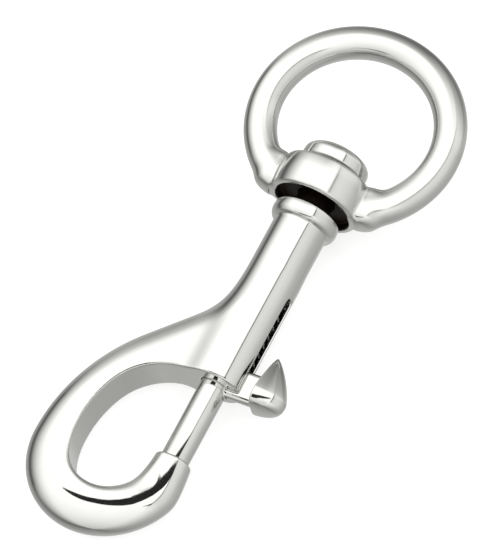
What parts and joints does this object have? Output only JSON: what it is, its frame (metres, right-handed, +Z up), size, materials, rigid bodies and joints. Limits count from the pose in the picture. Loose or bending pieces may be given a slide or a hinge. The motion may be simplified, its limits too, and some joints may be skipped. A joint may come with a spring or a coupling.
{
  "type": "swivel snap hook",
  "caption": "Polished cast snap hook with a round swivel eye and a spring loaded sliding bolt worked by a thumb knob.",
  "frame": {"origin": "centre of the ring of the swivel eye, on the swivel axis", "axes": "+Y along the swivel axis away from the hook, tilted up by the lean at which the part lies; +X towards the thumb knob; +Z up from what it lies on"},
  "size_m": [0.042, 0.1012, 0.016],
  "materials": {
    "polished_metal": "polished",
    "spring_steel": "drawn wire"
  },
  "bodies": {
    "hook": {"hook_body": "polished_metal", "spring": "spring_steel"},
    "eye": {"swivel_eye": "polished_metal"},
    "bolt": {"slide_bolt": "polished_metal"}
  },
  "joints": [
    {"name": "swivel", "type": "hinge", "parent": "hook", "child": "eye", "pos_m": [0, 0, 0], "axis": [0, 0.9976, 0.0686], "continuous": true},
    {"name": "bolt_slide", "type": "slide", "parent": "hook", "child": "bolt", "axis": [0, 0.9976, 0.0686], "range_m": [0, 0.0144], "stiffness_N_per_m": 300, "springref_m": -0.012, "deforming": ["spring"]}
  ]
}
